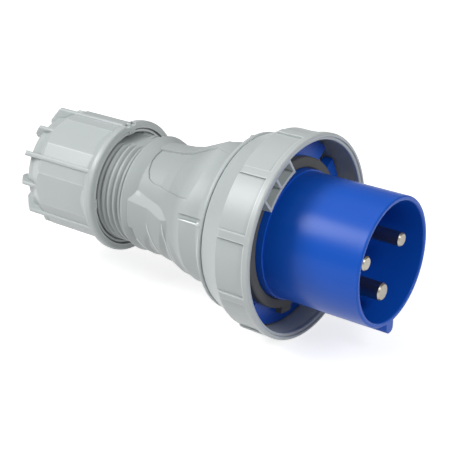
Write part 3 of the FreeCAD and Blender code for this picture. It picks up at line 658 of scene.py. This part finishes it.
def lay_line(name, start, end, radius, lift):
    """A tapered round line on the body's skin between two places.

    Each place is a station in millimetres and an angle from the top in degrees.
    """
    bpy.ops.object.select_all(action="DESELECT")
    bpy.ops.curve.primitive_nurbs_path_add(location=(0, 0, 0))
    line = bpy.context.object
    line.name = line.data.name = name
    spline = line.data.splines[0]
    spline.points.add(LINE_POINTS - len(spline.points))
    for number, point in enumerate(spline.points):
        share = number / (LINE_POINTS - 1)
        x = start[0] + (end[0] - start[0]) * share
        angle = start[1] + (end[1] - start[1]) * share
        point.co = (*skin_point(x * MM, angle, lift), 1)
        point.radius = min(1.0, TIP_SHARE + TAPER * min(share, 1 - share))
    spline.use_endpoint_u = True
    spline.order_u = LINE_ORDER
    spline.resolution_u = LINE_STEPS
    line.data.bevel_depth = radius
    line.data.bevel_resolution = LINE_ROUNDNESS
    line.data.use_fill_caps = True
    bpy.ops.object.convert(target="MESH")
    line = bpy.context.object
    line.data.name = name
    line.data.shade_smooth()
    # the line's pale tone is a painted highlight
    close_piece(line, crest_painted_highlight, "plug_body")


print("a line has", LINE_POINTS, "points")

# %% Raised lines
GROOVE_ANGLE = 75.9
CREST_RADIUS = 0.42 * MM
raised_lines = {
    "groove_lip": ((-110.8, GROOVE_ANGLE), (-92.0, GROOVE_ANGLE), 0.60 * MM, 0.0),
    "bead_lip": ((-90.5, 77.5), (-90.5, 132.0), 0.65 * MM, 0.3 * MM),
    "grip_crest_front": ((-125.4, 87.0), (-122.6, 130.0), CREST_RADIUS, 0.0),
    "grip_crest_middle": ((-138.0, 93.0), (-134.6, 131.0), CREST_RADIUS, 0.0),
    "grip_crest_rear": ((-151.0, 111.0), (-145.0, 136.0), CREST_RADIUS, 0.0),
}
for name, (start, end, radius, lift) in raised_lines.items():
    lay_line(name + "_left", start, end, radius, lift)
    lay_line(name + "_right", (start[0], -start[1]), (end[0], -end[1]), radius, lift)
print("raised lines:", 2 * len(raised_lines))

# %% Nubs
NUB_ANGLE = 73.4
NUB_STATION = -91.9 * MM
NUB_RADIUS = 47.0 * MM
NUB_SIZE = (2.6 * MM, 2.2 * MM, 3.0 * MM)
NUB_ROUNDING = 0.8 * MM
NUB_SEGMENTS = 3

for name, side in (("groove_nub_left", 1), ("groove_nub_right", -1)):
    bpy.ops.object.select_all(action="DESELECT")
    bpy.ops.mesh.primitive_cube_add(size=1.0, location=(NUB_STATION, 0, NUB_RADIUS))
    bpy.context.object.scale = NUB_SIZE
    nub = start_piece(name)
    bpy.ops.object.mode_set(mode="EDIT")
    bpy.ops.mesh.select_all(action="SELECT")
    bpy.ops.mesh.bevel(offset=NUB_ROUNDING, segments=NUB_SEGMENTS)
    bpy.ops.object.mode_set(mode="OBJECT")
    nub.rotation_euler = (math.radians(side * NUB_ANGLE), 0, 0)
    settle()
    nub.data.shade_smooth()
    # the nub's pale tone is a painted highlight
    close_piece(nub, crest_painted_highlight, "plug_body")
    print(name, [round(size / MM, 1) for size in nub.dimensions])

# %% [markdown]
# ## Studio
# The picture has a plain white ground and soft light from above. The floor is pale, and it glows a
# little to the camera, in reflections and through glass, but lights nothing, so that it looks white
# yet still holds the shadow under the plug. The world is white to the camera and through glass, and
# a mild grey to all else, reflections too. Three square lamps light the plug: a strong one from
# above, behind and to its right, a weak one from above, and a fill from the front.

# %% Floor
FLOOR_SIZE = 8.0
FLOOR_LEVEL = 0.66
FLOOR_ROUGHNESS = 0.9
FLOOR_GLOW = 0.74


def floor_finish():
    finish = Finish("floor_white", {"Base Color": grey(FLOOR_LEVEL), "Roughness": FLOOR_ROUGHNESS})
    path = finish.tree.nodes.new("ShaderNodeLightPath")
    seen = Value(finish, path.outputs["Is Camera Ray"]) + Value(finish, path.outputs["Is Glossy Ray"])
    seen = (seen + Value(finish, path.outputs["Is Transmission Ray"])).clamped()
    glow_inputs = {"Color": grey(1.0), "Strength": seen * FLOOR_GLOW}
    glow = finish.node("ShaderNodeEmission", {}, glow_inputs)
    plain = Value(finish, finish.shader.outputs[0])
    total = finish.node("ShaderNodeAddShader", {}, {0: plain, 1: glow})
    output = finish.tree.nodes["Material Output"]
    finish.tree.links.new(total.socket, output.inputs["Surface"])
    return finish.material


floor_height = frame_box[0][2]
bpy.ops.object.select_all(action="DESELECT")
bpy.ops.mesh.primitive_plane_add(size=FLOOR_SIZE, location=(0, 0, floor_height))
floor = bpy.context.object
floor.name = "floor"
floor.data.materials.append(floor_finish())
print("floor at", round(floor_height, 4))

# %% World
WORLD_LIGHT = 0.26
WORLD_SEEN = 1.0
world = bpy.data.worlds.new("studio")
bpy.context.scene.world = world
world.use_nodes = True
world_nodes = world.node_tree.nodes
world_links = world.node_tree.links
path = world_nodes.new("ShaderNodeLightPath")
seen = world_nodes.new("ShaderNodeMath")
seen.operation = "MAXIMUM"
world_links.new(path.outputs["Is Camera Ray"], seen.inputs[0])
world_links.new(path.outputs["Is Transmission Ray"], seen.inputs[1])
strength = world_nodes.new("ShaderNodeMapRange")
strength.inputs["To Min"].default_value = WORLD_LIGHT
strength.inputs["To Max"].default_value = WORLD_SEEN
world_links.new(seen.outputs[0], strength.inputs["Value"])
world_links.new(strength.outputs["Result"], world_nodes["Background"].inputs["Strength"])
world_nodes["Background"].inputs["Color"].default_value = (1, 1, 1, 1)
print("world lights with", WORLD_LIGHT)

# %% Lamps
def softbox(name, place, aim, size, power):
    """A square lamp that stands at a place and faces a point."""
    data = bpy.data.lights.new(name, "AREA")
    data.size = size
    data.energy = power
    lamp = bpy.data.objects.new(name, data)
    lamp.location = place
    lamp.rotation_euler = (Vector(aim) - Vector(place)).to_track_quat("-Z", "Y").to_euler()
    bpy.context.collection.objects.link(lamp)


plug_middle = (-0.11, 0, 0)
softbox("key_lamp", place=(-0.71, -0.62, 0.80), aim=plug_middle, size=0.50, power=8.2)
softbox("top_lamp", place=(-0.30, 0.10, 0.95), aim=plug_middle, size=0.70, power=1.25)
softbox("fill_lamp", place=(0.80, -0.25, 0.62), aim=plug_middle, size=0.35, power=3.6)
bpy.context.scene.view_settings.view_transform = "Standard"
print("lamps:", len(bpy.data.lights))
